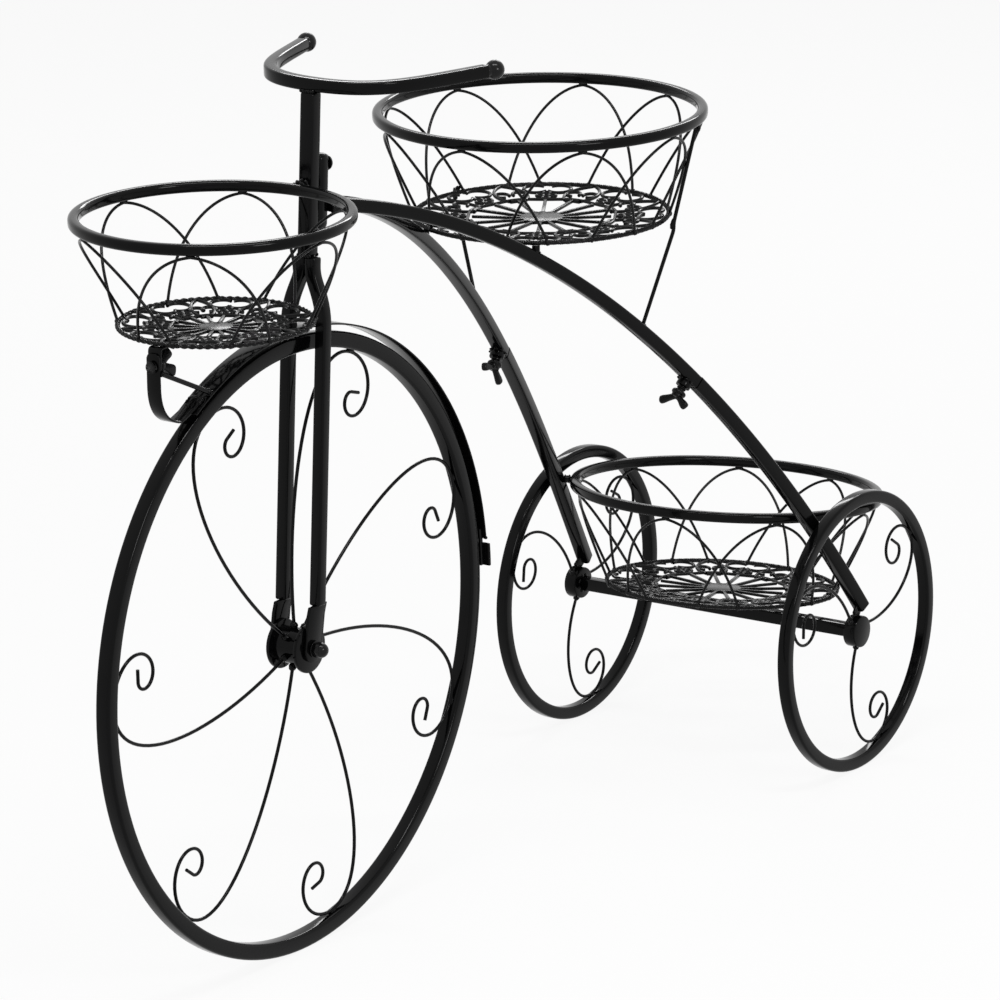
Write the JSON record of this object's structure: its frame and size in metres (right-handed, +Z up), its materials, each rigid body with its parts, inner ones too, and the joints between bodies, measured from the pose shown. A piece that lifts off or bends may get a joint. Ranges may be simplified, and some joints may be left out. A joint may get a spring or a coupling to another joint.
{
  "type": "tricycle plant stand",
  "caption": "Black wire and square-tube tricycle plant stand with a large front wheel and round openwork baskets at the front, on the frame and between the rear wheels.",
  "frame": {"origin": "on the floor under the front wheel's axle, midway across the stand", "axes": "+Z up, +Y towards the rear wheels, +X towards the stand's left side"},
  "size_m": [0.2744, 0.9402, 0.6463],
  "materials": {
    "black_steel": "gloss powder coat",
    "cap_plastic": "gloss"
  },
  "bodies": {
    "stand": {"axle_nut_left": "black_steel", "axle_nut_right": "black_steel", "basket_bolt": "black_steel", "basket_bracket": "black_steel", "basket_tab": "black_steel", "bracket_strut": "black_steel", "dropout_left": "black_steel", "dropout_right": "black_steel", "fender": "black_steel", "fender_rivet": "black_steel", "fender_tab": "black_steel", "fork_leg_left": "black_steel", "fork_leg_right": "black_steel", "frame_head": "black_steel", "front_axle_bolt": "black_steel", "front_basket_cage": "black_steel", "front_basket_floor": "black_steel", "front_basket_ring": "black_steel", "front_hub": "black_steel", "front_rim": "black_steel", "front_spoke_1": "black_steel", "front_spoke_2": "black_steel", "front_spoke_3": "black_steel", "front_spoke_4": "black_steel", "front_spoke_5": "black_steel", "front_spoke_6": "black_steel", "front_spoke_7": "black_steel", "grip_ball_left": "cap_plastic", "grip_ball_right": "cap_plastic", "handlebar": "black_steel", "head_bolt": "black_steel", "joint_insert_left": "black_steel", "joint_insert_right": "black_steel", "low_basket_cage": "black_steel", "low_basket_floor": "black_steel", "low_basket_ring": "black_steel", "low_basket_tie_left": "black_steel", "low_basket_tie_right": "black_steel", "lower_tube_left": "black_steel", "lower_tube_right": "black_steel", "rear_axle_tube": "black_steel", "rear_hub_left": "black_steel", "rear_hub_right": "black_steel", "rear_rim_left": "black_steel", "rear_rim_right": "black_steel", "ring_spacer": "black_steel", "stem": "black_steel", "top_basket_cage": "black_steel", "top_basket_floor": "black_steel", "top_basket_leg_left": "black_steel", "top_basket_leg_right": "black_steel", "top_basket_post_left": "black_steel", "top_basket_post_right": "black_steel", "top_basket_ring": "black_steel", "upper_tube_left": "black_steel", "upper_tube_right": "black_steel"},
    "wing_bolt_left": {"wing_bolt_left": "black_steel"},
    "wing_bolt_right": {"wing_bolt_right": "black_steel"},
    "basket_nut": {"basket_wing_nut": "black_steel"}
  },
  "joints": [
    {"name": "wing_bolt_left_turn", "type": "hinge", "parent": "stand", "child": "wing_bolt_left", "pos_m": [0.0868, 0.39542, 0.35328], "axis": [-0.1531, -0.6775, -0.7194], "continuous": true},
    {"name": "wing_bolt_right_turn", "type": "hinge", "parent": "stand", "child": "wing_bolt_right", "pos_m": [-0.0868, 0.39542, 0.35328], "axis": [0.1531, -0.6775, -0.7194], "continuous": true},
    {"name": "basket_nut_turn", "type": "hinge", "parent": "stand", "child": "basket_nut", "pos_m": [0, -0.1535, 0.4735], "axis": [0, 1, 0], "continuous": true}
  ]
}
